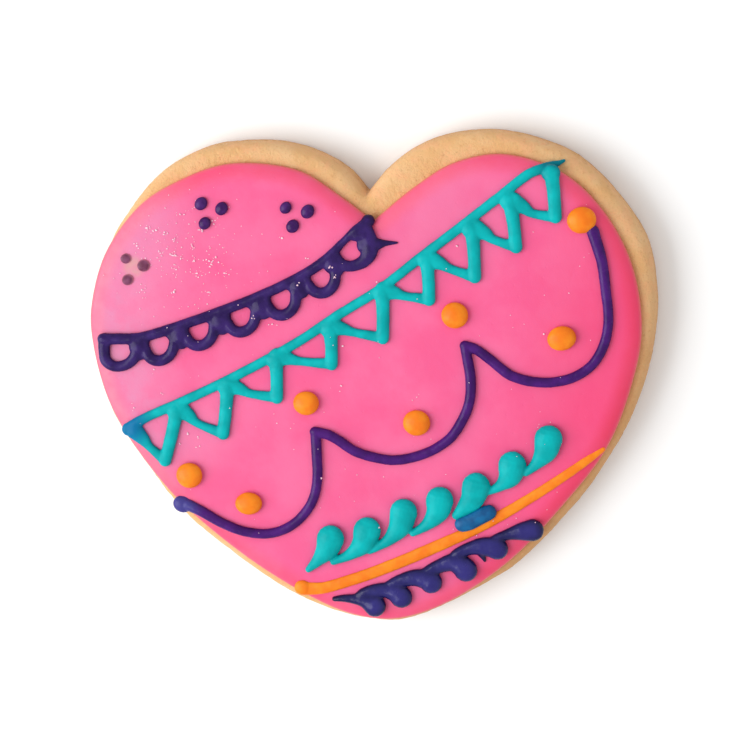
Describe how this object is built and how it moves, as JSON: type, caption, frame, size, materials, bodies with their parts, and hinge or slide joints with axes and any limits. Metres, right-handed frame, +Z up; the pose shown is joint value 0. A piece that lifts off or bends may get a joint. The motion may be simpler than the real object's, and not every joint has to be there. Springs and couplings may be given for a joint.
{
  "type": "iced sugar cookie",
  "caption": "Heart-shaped baked biscuit with a poured icing layer and piped icing lines, loops, flags, dots and drops in relief on top.",
  "frame": {"origin": "middle of the flat underside, at the centre of the outline's bounding box", "axes": "+Z up through the icing, +Y from the point of the heart towards its notch, +X across the lobes"},
  "size_m": [0.0907, 0.0787, 0.0099],
  "materials": {
    "biscuit": "dry baked crumb, pale gold with a slightly browner rim and underside",
    "pink_icing": "set royal icing, soft satin",
    "indigo_icing": "set royal icing, soft satin",
    "turquoise_icing": "set royal icing, soft satin",
    "purple_icing": "set royal icing, soft satin",
    "orange_icing": "set royal icing, soft satin",
    "blue_icing": "set royal icing, soft satin",
    "sugar": "fine clear sugar crystals"
  },
  "bodies": {
    "root": {"biscuit": "biscuit", "icing": "pink_icing"}
  },
  "joints": []
}
